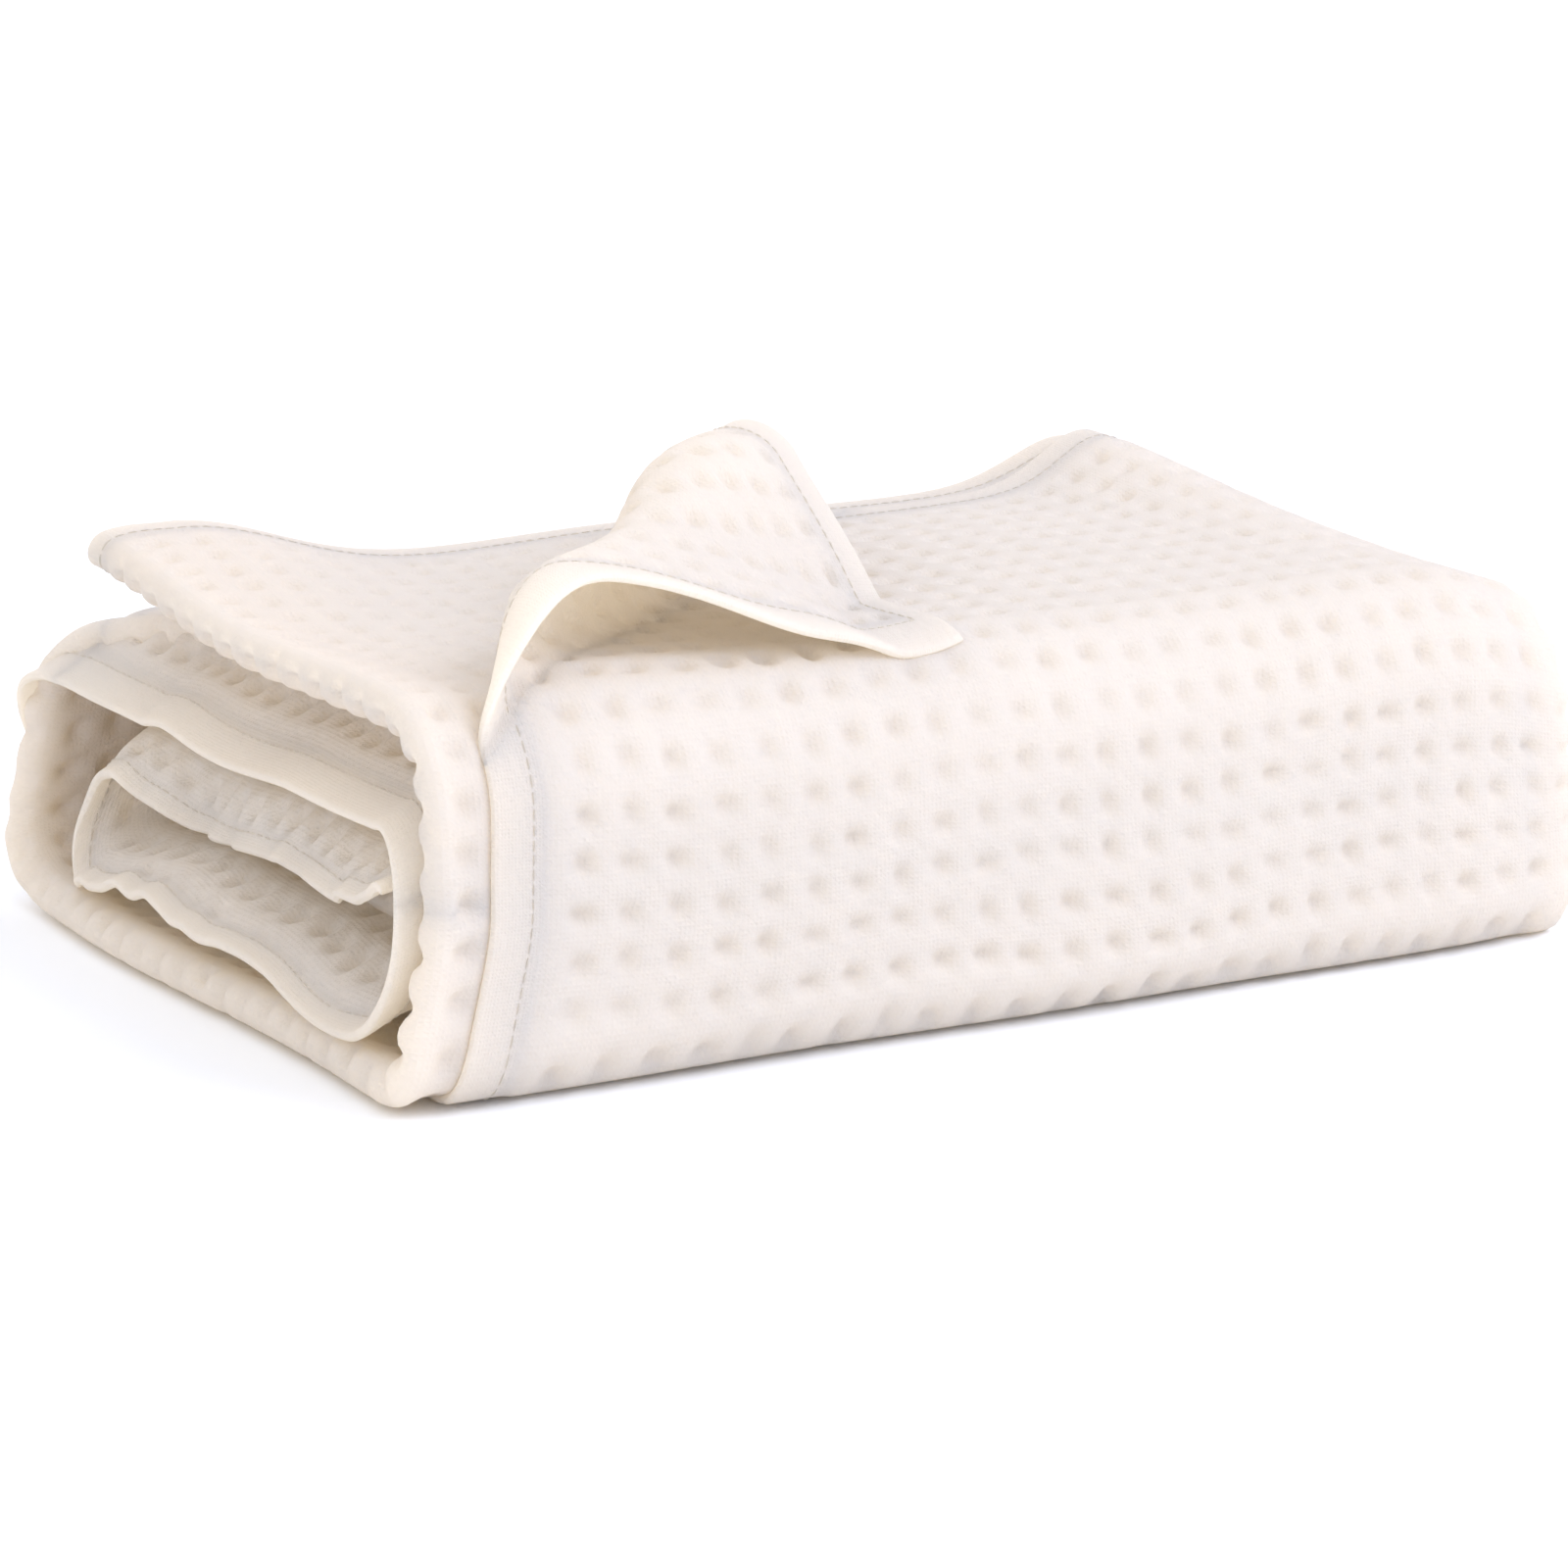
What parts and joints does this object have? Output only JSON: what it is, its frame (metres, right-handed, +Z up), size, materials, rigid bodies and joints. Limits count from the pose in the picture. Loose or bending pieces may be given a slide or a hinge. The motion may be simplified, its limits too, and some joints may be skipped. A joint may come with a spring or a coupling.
{
  "type": "folded throw blanket",
  "caption": "Off-white waffle-weave throw folded in three and rolled flat, its top leaf free and one corner turned over.",
  "frame": {"origin": "centre of the folded throw's footprint, on the surface it rests on", "axes": "+X along the folds towards the plain folded end, -Y towards the smooth long front face, +Z up through the top leaf"},
  "size_m": [0.423, 0.322, 0.1713],
  "materials": {
    "waffle": "soft matt brushed cotton in a deep waffle weave",
    "plain_hem": "plain woven cotton border, turned and stitched, matt",
    "thread": "spun cotton sewing thread, matt"
  },
  "bodies": {
    "folded_stack": {"back_lower_fold_hem": "plain_hem", "back_lower_outer_fold": "waffle", "back_lower_under_fold": "waffle", "back_outer_ply": "waffle", "back_side_hem": "plain_hem", "back_under_plies": "waffle", "back_upper_fold_hem": "plain_hem", "back_upper_outer_fold": "waffle", "back_upper_under_fold": "waffle", "bottom_outer_ply": "waffle", "bottom_side_hem": "plain_hem", "bottom_under_plies": "waffle", "core_end_hem": "plain_hem", "front_hem_thread": "thread", "front_lower_fold_hem": "plain_hem", "front_lower_outer_fold": "waffle", "front_lower_under_fold": "waffle", "front_outer_ply": "waffle", "front_side_hem": "plain_hem", "front_under_plies": "waffle", "front_upper_fold": "waffle", "roll_back_fold": "waffle", "roll_back_fold_hem": "plain_hem", "roll_bottom_hem": "plain_hem", "roll_bottom_pass": "waffle", "roll_core_hem": "plain_hem", "roll_core_pass": "waffle", "roll_front_hem": "plain_hem", "roll_front_pass": "waffle", "roll_hem_thread": "thread", "roll_lower_fold": "waffle", "roll_lower_fold_hem": "plain_hem", "roll_top_hem": "plain_hem", "roll_top_pass": "waffle", "roll_upper_fold": "waffle", "roll_upper_fold_hem": "plain_hem"},
    "top_leaf": {"leaf_hem_thread": "thread", "leaf_outer_end_hem": "plain_hem", "leaf_outer_ply": "waffle", "leaf_under_end_hem": "plain_hem", "leaf_under_plies": "waffle"},
    "turned_corner": {"corner_crown": "waffle", "corner_riser": "waffle", "corner_slope": "waffle"}
  },
  "joints": [
    {"name": "top_leaf_open", "type": "hinge", "parent": "folded_stack", "child": "top_leaf", "pos_m": [0, -0.149, 0.1116], "axis": [1, 0, 0], "range_deg": [0, 105]},
    {"name": "corner_turn_back", "type": "hinge", "parent": "top_leaf", "child": "turned_corner", "pos_m": [-0.1945, -0.153, 0.1244], "axis": [-0.7547, -0.6561, 0], "range_deg": [0, 85]}
  ]
}
